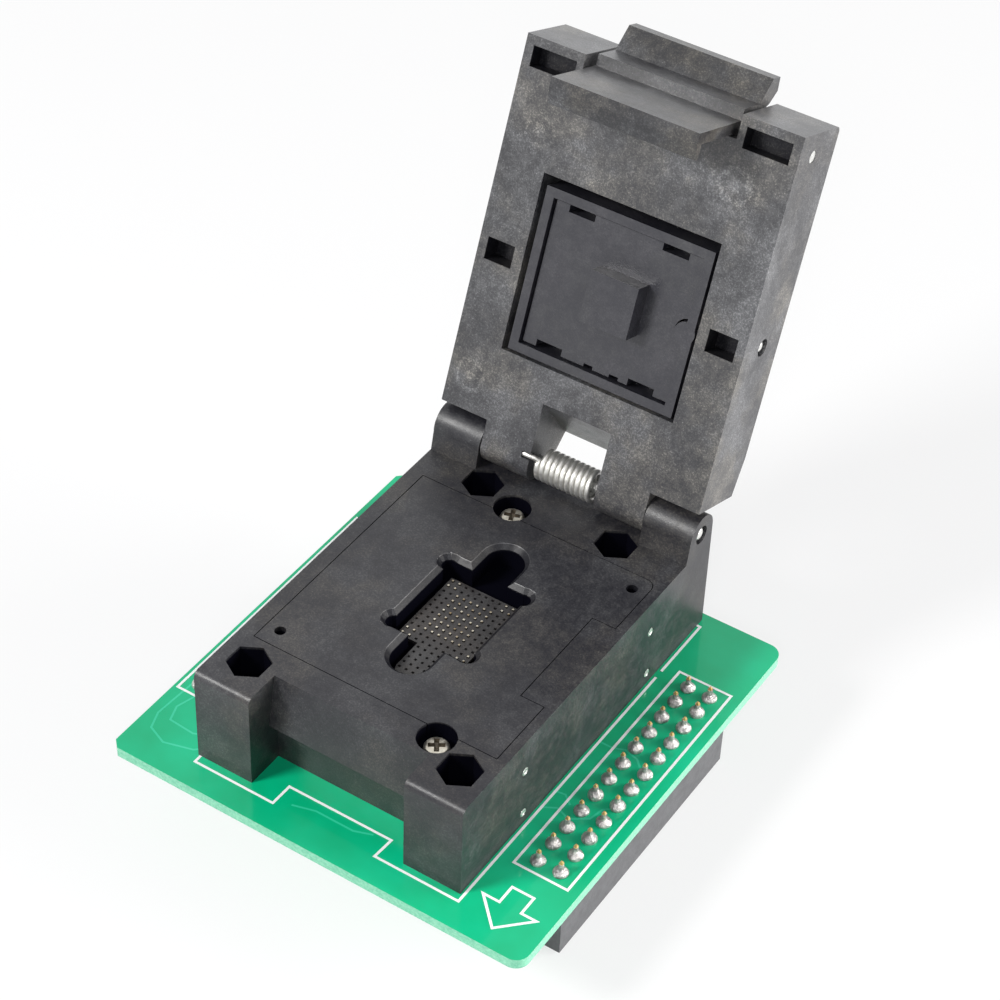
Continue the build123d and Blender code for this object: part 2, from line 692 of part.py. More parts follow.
def foot_point(reach):
    """A point of the stop foot, which is level with the base when the lid is open."""
    drop = HINGE_RISE - LID_GAP
    swing = radians(LID_SWING)
    y = reach * cos(swing) + drop * sin(swing)
    z = reach * sin(swing) - drop * cos(swing)
    return -y, z + HINGE_Z - LID_FACE


def lid_frame():
    """Moulded lid, closed: side walls, cavity for the pusher, barrel and latch notch."""
    taper_w = LID_THICKNESS - HEEL_TAPER_DEPTH
    outline = [
        (LID_HEEL, 0),
        (LID_LENGTH, 0),
        (LID_LENGTH, LID_THICKNESS),
        (LID_HEEL + HEEL_TAPER_LENGTH, LID_THICKNESS),
        (LID_HEEL, taper_w),
    ]
    body = lid_prism(outline, around(BASE_X, LID_WIDTH))
    tip = body.edges().filter_by(Axis.X).group_by(Axis.Y)[0].sort_by(Axis.Z)[-1]
    body = fillet(tip, LID_TIP_R)
    barrel_r = HINGE_RISE - LID_GAP
    middle = around(BASE_X, BASE_WIDTH - 2 * KNUCKLE_WIDTH - 2 * HINGE_SIDE_GAP)
    heel = [
        (LID_HEEL + THROUGH, 0),
        (0, 0),
        (0, barrel_r),
        foot_point(0),
        foot_point(FOOT_REACH),
        (LID_HEEL, taper_w),
        (LID_HEEL + THROUGH, taper_w),
    ]
    body += lid_prism(heel, middle) + cross_rod(middle, HINGE_Y, HINGE_Z, barrel_r)
    slope = (SPRING_BAY_TOP - SPRING_BAY_BACK) / LID_THICKNESS
    bay = [
        (SPRING_BAY_TOP + slope * THROUGH, -THROUGH),
        (SPRING_BAY_BACK - slope * THROUGH, LID_THICKNESS + THROUGH),
        (-LID_HEEL - 2, LID_THICKNESS + THROUGH),
        (-LID_HEEL - 2, -THROUGH),
    ]
    body -= lid_prism(bay, (BASE_X - SPRING_BAY_LEFT, BASE_X + SPRING_BAY_RIGHT))
    body -= hinge_bore(HINGE_PIN_R + HINGE_PIN_RUN)
    body -= leg_groove()
    body -= lid_block(around(BASE_X, CAVITY_WIDTH), (CAVITY_START, CAVITY_END),
                      (-THROUGH, CAVITY_DEPTH))
    body -= latch_room() + lid_windows() + lid_pin_holes()
    return body


def leg_groove():
    """Groove in the lid's face for the upper leg of the hinge spring."""
    half = COIL_WIRE_R + COIL_LEG_GAP
    tip = COIL_LEFT - COIL_LEG_LENGTH - COIL_LEG_GAP
    return lid_block((tip, BASE_X), around(COIL_LEG_V, 2 * half),
                     (-THROUGH, COIL_LEG_W + half))


def latch_room():
    """Notch through the lid's tip for the latch arm, wider inside for its hub."""
    x_range = around(BASE_X, LATCH_NOTCH)
    notch_v = (LATCH_ARM_V - LATCH_ARM_RUN, LID_LENGTH + THROUGH)
    pocket_v = (LATCH_POCKET_V, LID_LENGTH + THROUGH)
    return [lid_block(x_range, notch_v, (-THROUGH, LATCH_LIP + THROUGH)),
            lid_block(x_range, pocket_v, (LATCH_LIP, LID_THICKNESS + THROUGH))]


def lid_windows():
    """Blind windows in the lid's inner face, beside the pusher and beside the latch."""
    windows = []
    tip_end = LID_LENGTH - TIP_WINDOW_EDGE
    for side in (-1, 1):
        x = BASE_X + side * SIDE_WINDOW_SPREAD
        windows.append(lid_block(around(x, SIDE_WINDOW_WIDTH),
                                 around(SIDE_WINDOW_V, SIDE_WINDOW_LENGTH),
                                 (-THROUGH, SIDE_WINDOW_DEPTH)))
        x = BASE_X + side * TIP_WINDOW_SPREAD
        windows.append(lid_block(around(x, TIP_WINDOW_WIDTH),
                                 (tip_end - TIP_WINDOW_LENGTH, tip_end),
                                 (-THROUGH, TIP_WINDOW_DEPTH)))
    return windows


def pusher_pin_ranges(sink, grip):
    """Runs of the pusher's two pins, from the lid's side faces into the pusher."""
    outer = LID_WIDTH / 2 - sink
    inner = CAVITY_WIDTH / 2 - PUSHER_SIDE_GAP - grip
    return [(BASE_X - outer, BASE_X - inner), (BASE_X + inner, BASE_X + outer)]


def lid_pin_holes():
    span = (BASE_X - LID_WIDTH, BASE_X + LID_WIDTH)
    holes = [lid_bar(span, LATCH_PIN_V, LATCH_PIN_W, LATCH_PIN_R + LATCH_PIN_FIT)]
    for x_range in pusher_pin_ranges(-THROUGH, 0):
        holes.append(lid_bar(x_range, PUSHER_PIN_V, PUSHER_PIN_W, PUSHER_PIN_R + PUSHER_PIN_GAP))
    eye = LID_WIDTH / 2 - PUSHER_PIN_EYE
    for x_range in ((BASE_X - LID_WIDTH, BASE_X - eye), (BASE_X + eye, BASE_X + LID_WIDTH)):
        holes.append(lid_bar(x_range, PUSHER_PIN_V, PUSHER_PIN_W, PUSHER_PIN_EYE_R))
    return holes


def pusher_limits():
    """Outer limits of the pusher frame, across and along the lid."""
    x_range = around(BASE_X, CAVITY_WIDTH - 2 * PUSHER_SIDE_GAP)
    return x_range, (CAVITY_START + PUSHER_HEEL_GAP, CAVITY_END - PUSHER_TIP_GAP)


def inset(limits, amount):
    low, high = limits
    return low + amount, high - amount


def key_lug(grow, w_range):
    """Half-round lug on the frame's right side that keys the insert."""
    x_range, _ = pusher_limits()
    x = x_range[1] - RIM_WIDTH
    low, high = LID_FACE + w_range[0], LID_FACE + w_range[1]
    return bar(x, HINGE_Y - KEY_LUG_V, (low, high), KEY_LUG_R + grow, 24)


def pusher_spring_points():
    x_range, v_range = pusher_limits()
    middle = HINGE_Y - sum(v_range) / 2
    return [(x, middle) for x in inset(x_range, PUSHER_SPRING_INSET)]


def pusher_frame():
    """Pusher's outer tray, which slides in the lid's cavity on two pins."""
    x_range, v_range = pusher_limits()
    body = lid_block(x_range, v_range, (PUSHER_FACE, PUSHER_BACK))
    well = (PUSHER_FACE - THROUGH, INSERT_BACK + INSERT_GAP)
    body -= lid_block(inset(x_range, RIM_WIDTH), inset(v_range, RIM_WIDTH), well)
    body += key_lug(0, (PUSHER_FACE, INSERT_BACK + THROUGH))
    slot_w = (PUSHER_PIN_W - PUSHER_TRAVEL, PUSHER_PIN_W)
    radius = PUSHER_PIN_R + PUSHER_PIN_GAP
    for span in pusher_pin_ranges(0, PUSHER_PIN_GRIP + PUSHER_PIN_GAP):
        body -= [lid_bar(span, PUSHER_PIN_V, w, radius) for w in slot_w]
        body -= lid_block(span, around(PUSHER_PIN_V, 2 * radius), slot_w)
    seat = (LID_FACE + PUSHER_BACK - PUSHER_SPRING_SEAT, LID_FACE + PUSHER_BACK + THROUGH)
    radius = PUSHER_SPRING_R + PUSHER_SPRING_WIRE / 2 + PUSHER_SPRING_GAP
    return body - [bar(x, y, seat, radius, 16) for x, y in pusher_spring_points()]


def pusher_plate():
    """Insert that presses the chip, with a raised square pad."""
    x_range, v_range = pusher_limits()
    edge = RIM_WIDTH + INSERT_GAP
    x_range, v_range = inset(x_range, edge), inset(v_range, edge)
    body = lid_block(x_range, v_range, (INSERT_FACE, INSERT_BACK))
    body += lid_block(around(PAD_X, PAD_SIZE), around(PAD_V, PAD_SIZE),
                      (INSERT_FACE - PAD_HEIGHT, INSERT_FACE))
    body -= key_lug(INSERT_GAP, (INSERT_FACE - THROUGH, INSERT_BACK + THROUGH))
    for v in v_range:
        for side in (-1, 1):
            x = BASE_X + side * CLIP_SPREAD
            body -= lid_block(around(x, CLIP_WIDTH), around(v, 2 * CLIP_DEPTH),
                              (-THROUGH, INSERT_BACK + THROUGH))
    for side in (-1, 1):
        x = PAD_X + side * NICK_SPREAD
        body -= lid_block(around(x, NICK_WIDTH), around(v_range[0], 2 * NICK_DEPTH),
                          (-THROUGH, INSERT_BACK + THROUGH))
    return body


def pusher_pins():
    return [lid_bar(span, PUSHER_PIN_V, PUSHER_PIN_W, PUSHER_PIN_R)
            for span in pusher_pin_ranges(PUSHER_PIN_SINK, PUSHER_PIN_GRIP)]


def coil(radius, wire, turns, pitch):
    """Helical square wire along Z from the origin, in short straight steps."""
    count = round(turns * COIL_STEPS)
    turn = 2 * pi * turns / count
    rise = turns * pitch / count
    path = Polyline(*[(radius * cos(n * turn), radius * sin(n * turn), n * rise)
                      for n in range(count + 1)])
    start = Plane(origin=path @ 0, z_dir=path % 0)
    section = start * RegularPolygon(wire, 4)
    return sweep(section, path=path, transition=Transition.RIGHT)


def pusher_spring(x, y):
    wire = PUSHER_SPRING_WIRE / 2
    low = LID_FACE + PUSHER_BACK - PUSHER_SPRING_SEAT + wire
    high = LID_FACE + CAVITY_DEPTH - wire
    pitch = (high - low) / PUSHER_SPRING_TURNS
    return Pos(x, y, low) * coil(PUSHER_SPRING_R, wire, PUSHER_SPRING_TURNS, pitch)


def latch_outline():
    """Side outline of the latch: hook, arm, stepped shoulder, leaning tab and back."""
    catch = BEAM_UNDER - LATCH_CATCH_DROP - LID_FACE
    nose = catch - LATCH_NOSE
    tip = LATCH_ARM_V - LATCH_HOOK
    shoulder = LATCH_OUTER_V + LATCH_STEP
    top = LATCH_OUTER_V + LATCH_TAB_REACH
    return [
        (tip, catch),
        (tip, catch - LATCH_HOOK_EDGE),
        (LATCH_OUTER_V - LATCH_NOSE_FLAT, nose),
        (LATCH_OUTER_V, nose),
        (LATCH_OUTER_V, LATCH_STEP_W),
        (shoulder, LATCH_STEP_W + LATCH_STEP_RUN),
        (shoulder, LATCH_SHOULDER_W),
        (top, LATCH_TAB_W),
        (top, LATCH_TAB_TOP_W),
        (top - LATCH_TAB_THICKNESS, LATCH_TAB_TOP_W + LATCH_TAB_CROWN),
        (LATCH_BACK_V + LATCH_BACK_RISE, LATCH_BACK_W),
        (LATCH_BACK_V, LATCH_HEEL_W),
        (LATCH_PIN_V + LATCH_HUB_R / 3, LATCH_PIN_W + 0.9 * LATCH_HUB_R),
        (LATCH_PIN_V, LATCH_PIN_W),
        (LATCH_ARM_V, LATCH_PIN_W),
        (LATCH_ARM_V, catch),
    ]


def latch():
    """Hooked latch with its hub and thumb tab."""
    x_range = around(BASE_X, LATCH_WIDTH)
    body = lid_prism(latch_outline(), x_range)
    body += lid_rod(x_range, LATCH_PIN_V, LATCH_PIN_W, LATCH_HUB_R)
    return body - lid_bar(inset(x_range, -THROUGH), LATCH_PIN_V, LATCH_PIN_W,
                          LATCH_PIN_R + LATCH_PIN_RUN)


def latch_pin():
    span = inset(around(BASE_X, LID_WIDTH), LATCH_PIN_SINK)
    return lid_bar(span, LATCH_PIN_V, LATCH_PIN_W, LATCH_PIN_R)


def latch_spring():
    """Small spring between the lid and the latch, above the pin."""
    wire = LATCH_SPRING_WIRE / 2
    start = LATCH_POCKET_V + wire
    length = LATCH_BACK_V - LATCH_SPRING_GAP - wire - start
    body = coil(LATCH_SPRING_R, wire, LATCH_SPRING_TURNS, length / LATCH_SPRING_TURNS)
    return Pos(BASE_X, HINGE_Y - start, LID_FACE + LATCH_SPRING_W) * Rot(90, 0, 0) * body


def hinge_spring():
    """Torsion spring round the hinge pin, one leg in the lid and one over the base."""
    leg_angle = degrees(atan2(COIL_LEG_W - HINGE_RISE + LID_GAP, -COIL_LEG_V)) - LID_SWING
    start = (leg_angle + 90) % 360
    turns = COIL_WHOLE_TURNS + 1 - start / 360
    body = coil(COIL_R, COIL_WIRE_R, turns, COIL_PITCH)
    body = Pos(COIL_LEFT, HINGE_Y, HINGE_Z) * Rot(start, 0, 0) * Rot(0, 90, 0) * body
    leg = (COIL_LEFT - COIL_LEG_LENGTH, COIL_LEFT + COIL_WIRE_R)
    body += opened(cross_bar(leg, HINGE_Y - COIL_LEG_V, LID_FACE + COIL_LEG_W, COIL_WIRE_R))
    right = COIL_LEFT + turns * COIL_PITCH
    foot = Rot(90, 0, 0) * bar(0, 0, around(0, COIL_FOOT_LENGTH), COIL_WIRE_R)
    return body + Pos(right, HINGE_Y + COIL_FOOT_LENGTH / 2, HINGE_Z - COIL_R) * foot


HEADER_SIDES = {"left": -1, "right": 1}


def all_nodes():
    nodes = {"board": board(), "base_frame": base_frame(), "guide_plate": guide_plate()}
    for name, side in HEADER_SIDES.items():
        pins = header_pins(side)
        nodes[f"header_{name}"] = header(side)
        nodes[f"header_contacts_{name}"] = [contact(x, y) for x, y in pins]
        nodes[f"solder_{name}"] = [solder_joint(x, y) for x, y in pins]
    nodes["probe_block"] = probe_block()
    nodes["probe_cover"] = probe_cover()
    nodes["probes"] = probes()
    nodes["plate_screws"] = [plate_screw(x, y) for x, y in PLATE_SCREWS]
    nodes["mounting_nuts"] = [mounting_nut(x, y) for x, y in MOUNT_POINTS]
    nodes["mounting_screws"] = [mounting_screw(x, y) for x, y in MOUNT_POINTS]
    nodes["side_pins"] = side_pins()
    nodes["hinge_pin"] = hinge_pin()
    nodes["hinge_spring"] = hinge_spring()
    lid_nodes = {
        "lid_frame": lid_frame(),
        "pusher_frame": pusher_frame(),
        "pusher_plate": pusher_plate(),
        "pusher_pins": pusher_pins(),
        "pusher_springs": [pusher_spring(x, y) for x, y in pusher_spring_points()],
        "latch": latch(),
        "latch_pin": latch_pin(),
        "latch_spring": latch_spring(),
    }
    for name, shape in lid_nodes.items():
        solids = shape if isinstance(shape, list) else [shape]
        nodes[name] = [opened(solid) for solid in solids]
    return nodes


os.makedirs("parts", exist_ok=True)
for node_name, node_shape in all_nodes().items():
    if isinstance(node_shape, list):
        node_shape = Compound(children=[s for shape in node_shape for s in shape.solids()])
    export_step(node_shape, f"parts/{node_name}.step")
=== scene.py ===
import math

import bmesh
import bpy
from mathutils import Matrix, Vector


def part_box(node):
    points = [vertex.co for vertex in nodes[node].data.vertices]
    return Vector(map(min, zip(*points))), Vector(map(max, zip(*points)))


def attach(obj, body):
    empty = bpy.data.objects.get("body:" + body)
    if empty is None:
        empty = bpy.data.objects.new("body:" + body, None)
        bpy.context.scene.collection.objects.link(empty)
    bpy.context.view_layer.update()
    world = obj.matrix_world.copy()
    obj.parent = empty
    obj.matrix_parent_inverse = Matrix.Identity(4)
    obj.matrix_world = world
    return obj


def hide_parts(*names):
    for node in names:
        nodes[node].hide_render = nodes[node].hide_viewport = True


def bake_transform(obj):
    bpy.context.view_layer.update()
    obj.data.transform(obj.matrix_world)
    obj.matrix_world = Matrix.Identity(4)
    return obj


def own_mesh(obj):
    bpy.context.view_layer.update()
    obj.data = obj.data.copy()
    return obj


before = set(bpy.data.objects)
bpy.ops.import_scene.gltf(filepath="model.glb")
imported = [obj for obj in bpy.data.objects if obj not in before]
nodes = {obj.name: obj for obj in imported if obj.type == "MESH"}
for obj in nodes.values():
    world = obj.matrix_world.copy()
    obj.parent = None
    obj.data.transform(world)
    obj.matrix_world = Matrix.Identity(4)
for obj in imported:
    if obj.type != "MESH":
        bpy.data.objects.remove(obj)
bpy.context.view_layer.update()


# Camera
# A long lens looks down on the open socket from the front right, over the board's corner.
camera_data = bpy.data.cameras.new("photo_camera")
camera_data.lens = 99.27
camera_data.sensor_width = 36
camera_data.clip_start = 0.01
camera = bpy.data.objects.new("photo_camera", camera_data)
to_right = Vector((0.83473, 0.54980, 0.03059)).normalized()
backward = Vector((0.39292, -0.63362, 0.66644)).normalized()
upward = backward.cross(to_right).normalized()
turn = Matrix((to_right, upward, backward)).transposed().to_4x4()
camera_place = (0.105609, -0.163146, 0.209595)
camera.matrix_world = Matrix.Translation(camera_place) @ turn
scene = bpy.context.scene
scene.collection.objects.link(camera)
scene.camera = camera
scene.view_settings.view_transform = "Standard"


# Floor and light
# The socket stands on a sheet of white paper that runs back out of sight, in even studio
# light: a lamp over the camera's left shoulder, which also glints on bevelled edges, low wide
# ones on the right and far behind the socket, and a weak one near the lens.
class Socket:
    """A node's output, so that shader maths can be written as an expression."""

    def __init__(self, tree, link):
        self.tree = tree
        self.link = link

    def maths(self, operation, *values):
        return node_in(self.tree, "ShaderNodeMath", {"operation": operation}, *values)

    def __add__(self, other):
        return self.maths("ADD", self, other)

    def __sub__(self, other):
        return self.maths("SUBTRACT", self, other)

    def __rsub__(self, other):
        return self.maths("SUBTRACT", other, self)

    def __mul__(self, other):
        return self.maths("MULTIPLY", self, other)

    __radd__ = __add__
    __rmul__ = __mul__


def node_in(tree, kind, settings, *values, output=0, **named):
    """Adds a shader node: settings first, then the values or links of its sockets."""
    node = tree.nodes.new(kind)
    for key, value in settings.items():
        if key == "stops":
            ramp = node.color_ramp.elements
            while len(ramp) < len(value):
                ramp.new(0.5)
            for element, (place, colour) in zip(ramp, value):
                element.position = place
                element.color = (*colour, 1)
        else:
            setattr(node, key, value)
    pairs = [(node.inputs[n], value) for n, value in enumerate(values)]
    pairs += [(node.inputs[key.replace("_", " ")], value) for key, value in named.items()]
    for socket, value in pairs:
        if isinstance(value, Socket):
            tree.links.new(value.link, socket)
        elif value is not None:
            socket.default_value = value
    return Socket(tree, node.outputs[output]) if node.outputs else None


def new_material(name):
    material = bpy.data.materials.new(name)
    material.use_nodes = True
    material.node_tree.nodes.clear()
    return material, material.node_tree


def set_surface(tree, shader):
    node_in(tree, "ShaderNodeOutputMaterial", {}, shader)


def seen_directly(tree):
    """1 for what the camera sees straight, in a mirror or through glass."""
    rays = [node_in(tree, "ShaderNodeLightPath", {}, output=name)
            for name in ("Is Camera Ray", "Is Glossy Ray", "Is Transmission Ray")]
    return rays[0].maths("MAXIMUM", rays[0], rays[1].maths("MAXIMUM", rays[1], rays[2]))


paper, tree = new_material("white_paper")
sheet = node_in(tree, "ShaderNodeBsdfDiffuse", {}, (0.90, 0.90, 0.91, 1))
glow = node_in(tree, "ShaderNodeEmission", {}, (1, 1, 1, 1), 1.0)
glow_share = seen_directly(tree) * 0.72
set_surface(tree, node_in(tree, "ShaderNodeMixShader", {}, glow_share, sheet, glow))

floor_mesh = bpy.data.meshes.new("paper_floor")
half_width = 1.5
just_below = -0.00002
corners = [(x * half_width, y * half_width, just_below)
           for x, y in ((-1, -1), (1, -1), (1, 1), (-1, 1))]
floor_mesh.from_pydata(corners, [], [(0, 1, 2, 3)])
floor_mesh.materials.append(paper)
floor = bpy.data.objects.new("paper_floor", floor_mesh)
scene.collection.objects.link(floor)

world = bpy.data.worlds.new("studio")
scene.world = world
world.use_nodes = True
tree = world.node_tree
tree.nodes.clear()
room = node_in(tree, "ShaderNodeBackground", {}, (0.90, 0.94, 1.0, 1), 0.25)
backdrop = node_in(tree, "ShaderNodeBackground", {}, (1, 1, 1, 1), 1.0)
mixed = node_in(tree, "ShaderNodeMixShader", {}, seen_directly(tree), room, backdrop)
node_in(tree, "ShaderNodeOutputWorld", {}, mixed)

lit_point = Vector((0, 0, 0.02))


def softbox(name, place, size, power, colour):
    """Round lamp that faces the socket's middle."""
    light = bpy.data.lights.new(name, "AREA")
    light.shape = "DISK"
    light.size = size
    light.energy = power
    light.color = colour
    lamp = bpy.data.objects.new(name, light)
    aim = lit_point - Vector(place)
    facing = aim.to_track_quat("-Z", "Y").to_matrix().to_4x4()
    lamp.matrix_world = Matrix.Translation(place) @ facing
    scene.collection.objects.link(lamp)


softbox("key_lamp", (-0.27, -0.39, 0.41), 0.17, 3.2, (1.0, 0.99, 0.97))
softbox("side_lamp", (0.56, 0.27, 0.08), 0.55, 9.0, (1.0, 0.98, 0.95))
softbox("horizon_lamp", (-0.33, 0.76, 0.15), 0.70, 1.0, (0.97, 0.98, 1.0))
softbox("lens_lamp", (0.118, -0.196, 0.225), 0.05, 0.22, (0.98, 0.99, 1.0))


# Circuit board
# Glass-fibre board with a glossy green mask on both faces and a paler sawn edge. The copper
# tracks show through the mask as faint lines, and the print on it is white ink.
def surface_point(tree):
    """Place on the piece in millimetres."""
    place = node_in(tree, "ShaderNodeTexCoord", {}, output="Object")
    return node_in(tree, "ShaderNodeVectorMath", {"operation": "SCALE"}, place, Scale=1000)


def noise(tree, place, scale, detail=3.0, roughness=0.55):
    return node_in(tree, "ShaderNodeTexNoise", {}, Vector=place, Scale=scale, Detail=detail,
                   Roughness=roughness)


def ramp(tree, value, *stops):
    return node_in(tree, "ShaderNodeValToRGB", {"stops": stops}, value)


def bump(tree, height, strength, distance):
    return node_in(tree, "ShaderNodeBump", {}, Strength=strength, Distance=distance,
                   Height=height)


def steps(tree, value, low, high):
    """0 below low, 1 above high and a smooth change between them."""
    return node_in(tree, "ShaderNodeMapRange", {"interpolation_type": "SMOOTHSTEP"}, value,
                   low, high, 0, 1)


def blend_colours(tree, share, first, second):
    """Mix of two colours. The node's sockets for numbers and vectors are passed over."""
    passed_over = [None] * 5
    return node_in(tree, "ShaderNodeMix", {"data_type": "RGBA"}, share, *passed_over, first,
                   second, output=2)


def upward_part(tree):
    """How far the surface faces up or down: 1 on flat faces and 0 on upright ones."""
    normal = node_in(tree, "ShaderNodeNewGeometry", {}, output="Normal")
    level = node_in(tree, "ShaderNodeSeparateXYZ", {}, normal, output="Z")
    return level.maths("ABSOLUTE", level)


def dress(name, material, bevel=None):
    """Gives a carried-over node its material and, where asked, softly rounded edges."""
    piece = nodes[name]
    piece.data.materials.clear()
    piece.data.materials.append(material)
    if bevel:
        edge = piece.modifiers.new("moulded_edges", "BEVEL")
        edge.width = bevel
        edge.segments = 2
        edge.limit_method = "ANGLE"
        edge.angle_limit = math.radians(40)
        edge.harden_normals = True


def add_piece(name, form, body, *materials, sharp=35):
    """Puts a finished form, drawn in millimetres, in the scene, on its body if it has one."""
    bmesh.ops.scale(form, vec=(0.001, 0.001, 0.001), verts=form.verts)
    mesh = bpy.data.meshes.new(name)
    form.to_mesh(mesh)
    form.free()
    for material in materials:
        mesh.materials.append(material)
    mesh.shade_smooth()
    mesh.set_sharp_from_angle(angle=math.radians(sharp))
    piece = bpy.data.objects.new(name, mesh)
    scene.collection.objects.link(piece)
    if body:
        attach(piece, body)
    return piece


def stroke(form, points, width, height, closed=True):
    """Flat line of even width through the points, with mitred corners. Corners sharper than
    the limit get a shorter mitre."""
    count = len(points)
    limit = 0.3
    rows = []
    for n, point in enumerate(points):
        here = Vector(point)
        before = Vector(points[n - 1]) if closed or n else here
        after = Vector(points[(n + 1) % count]) if closed or n < count - 1 else here
        first = (here - before).normalized()
        second = (after - here).normalized()
        first = first if before != here else second
        second = second if after != here else first
        along = (first + second).normalized()
        reach = width / 2 / max(limit, along.dot(first))
        across = Vector((-along.y, along.x)) * reach
        rows.append([form.verts.new((*(here + across * side), height)) for side in (1, -1)])
    pairs = zip(rows, rows[1:] + rows[:1]) if closed else zip(rows, rows[1:])
    for (left, right), (next_left, next_right) in pairs:
        form.faces.new((left, right, next_right, next_left))


def masked_board(name, low_green, high_green):
    """Glossy solder mask, cloudy over the copper, with a bare pale edge."""
    material, tree = new_material(name)
    place = surface_point(tree)
    green = ramp(tree, noise(tree, place, 0.09), (0.3, low_green), (0.7, high_green))
    fibre = ramp(tree, noise(tree, place, 4.0),
                 (0.3, (0.12, 0.48, 0.30)), (0.7, (0.26, 0.64, 0.44)))
    colour = blend_colours(tree, steps(tree, upward_part(tree), 0.3, 0.7), fibre, green)
    set_surface(tree, node_in(tree, "ShaderNodeBsdfPrincipled", {}, Base_Color=colour,
                              Roughness=0.3, Coat_Weight=0.4, Coat_Roughness=0.06,
                              Specular_IOR_Level=0.3,
                              Normal=bump(tree, noise(tree, place, 2.2, 1.0), 0.05, 0.0001)))
    return material


mask = masked_board("green_mask", (0.000, 0.410, 0.175), (0.001, 0.560, 0.275))
dress("board", mask, bevel=0.00006)

board_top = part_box("board")[1].z * 1000
track_green = masked_board("green_over_copper", (0.020, 0.560, 0.300), (0.050, 0.680, 0.400))
tracks = [
    [(-22.3, -14.2), (-22.6, -19.3), (-21.9, -21.3), (-19.7, -22.2), (-16.6, -21.3),
     (-15.9, -20.6)],
    [(-20.6, -14.2), (-21.6, -17.6), (-21.0, -19.4), (-18.0, -19.6), (-15.9, -18.6)],
    [(15.4, -8.1), (16.9, -7.2), (18.5, -7.8), (20.2, -6.6), (20.6, -4.9), (21.4, -4.2),
     (21.6, -2.8)],
    [(15.3, -5.5), (16.6, -5.3), (17.7, -6.2)],
    [(15.6, 2.6), (17.1, 2.6), (18.3, 3.1), (19.9, 2.7), (20.7, 1.9)],
    [(-4.4, -21.6), (-2.0, -20.9), (2.4, -20.9), (4.3, -20.2)],
]
track_width = 0.22
track_height = board_top + 0.008
form = bmesh.new()
for points in tracks:
    stroke(form, points, track_width, track_height, closed=False)
add_piece("board_tracks", form, "base", track_green)

white_ink, tree = new_material("white_ink")
ink_grain = noise(tree, surface_point(tree), 6.0)
ink_colour = ramp(tree, ink_grain, (0.2, (0.90, 0.95, 0.94)), (0.6, (0.96, 0.99, 0.98)))
set_surface(tree, node_in(tree, "ShaderNodeBsdfPrincipled", {}, Base_Color=ink_colour,
                          Roughness=0.45))

ink_height = board_top + 0.02
ink_width = 0.28
header_box = [(17.18, -15.39), (23.23, -15.39), (23.23, 15.56), (17.18, 15.56)]
socket_front = [
    (15.6, 13.49), (15.54, -22.35), (5.93, -22.33), (6.09, -19.79),
    (-5.97, -19.82), (-6.02, -22.44), (-15.5, -22.45), (-15.5, 22.42), (15.6, 22.42),
    (15.6, 14.54),
]
arrow = [
    (18.73, -18.02), (21.17, -18.02), (21.17, -20.22), (22.85, -20.22), (19.89, -23.22),
    (16.9, -20.22), (18.73, -20.22),
]
form = bmesh.new()
stroke(form, header_box, ink_width, ink_height)
stroke(form, [(-x, y) for x, y in reversed(header_box)], ink_width, ink_height)
stroke(form, socket_front, ink_width, ink_height, closed=False)
stroke(form, arrow, ink_width, ink_height)
add_piece("board_print", form, "base", white_ink)


# Headers and their contacts
# Two black moulded socket strips under the board. Their gold-plated tails come up through
# the board and are soldered by hand, so each joint is a slightly different domed ball.
strip, tree = new_material("strip_plastic")
place = surface_point(tree)
grain = noise(tree, place, 1.2)
strip_colour = ramp(tree, grain, (0.3, (0.060, 0.060, 0.066)), (0.7, (0.095, 0.095, 0.103)))
set_surface(tree, node_in(tree, "ShaderNodeBsdfPrincipled", {}, Base_Color=strip_colour,
                          Roughness=0.36, Normal=bump(tree, noise(tree, place, 5.0), 0.15, 0.0001)))

gold, tree = new_material("gold_plate")
place = surface_point(tree)
worn = noise(tree, place, 3.0)
gold_colour = ramp(tree, worn, (0.3, (0.62, 0.36, 0.12)), (0.7, (0.90, 0.62, 0.28)))
set_surface(tree, node_in(tree, "ShaderNodeBsdfPrincipled", {}, Base_Color=gold_colour,
                          Metallic=0.7, Roughness=0.30))

solder, tree = new_material("solder")
place = surface_point(tree)
dull = noise(tree, place, 1.6, 4.0)
solder_colour = ramp(tree, dull, (0.35, (0.26, 0.25, 0.25)), (0.65, (0.60, 0.58, 0.56)))
set_surface(tree, node_in(tree, "ShaderNodeBsdfPrincipled", {}, Base_Color=solder_colour,
                          Metallic=0.75, Roughness=0.42,
                          Normal=bump(tree, noise(tree, place, 3.0), 0.7, 0.0003)))


def skin(form, rings):
    """Closed skin over a row of rings with the same number of points. It returns the faces
    ring by ring, and the end face last."""
    bands = []
    for low, high in zip(rings, rings[1:]):
        after = low[1:] + low[:1], high[1:] + high[:1]
        bands.append([form.faces.new(corners) for corners in zip(low, *after, high)])
    form.faces.new(rings[0][::-1])
    return bands + [[form.faces.new(rings[-1])]]


def lathe(form, centre, profile, sides, along=(0, 0, 1), wobble=None):
    """Turned form on a line through the centre, from (radius, distance) pairs."""
    spin = Vector((0, 0, 1)).rotation_difference(Vector(along))
    rings = []
    for radius, distance in profile:
        ring = []
        for n in range(sides):
            angle = 2 * math.pi * (n + 0.5) / sides
            r = radius * (1 + (wobble(angle) if wobble else 0))
            place = Vector((r * math.cos(angle), r * math.sin(angle), distance))
            ring.append(form.verts.new(Vector(centre) + spin @ place))
        rings.append(ring)
    skin(form, rings)


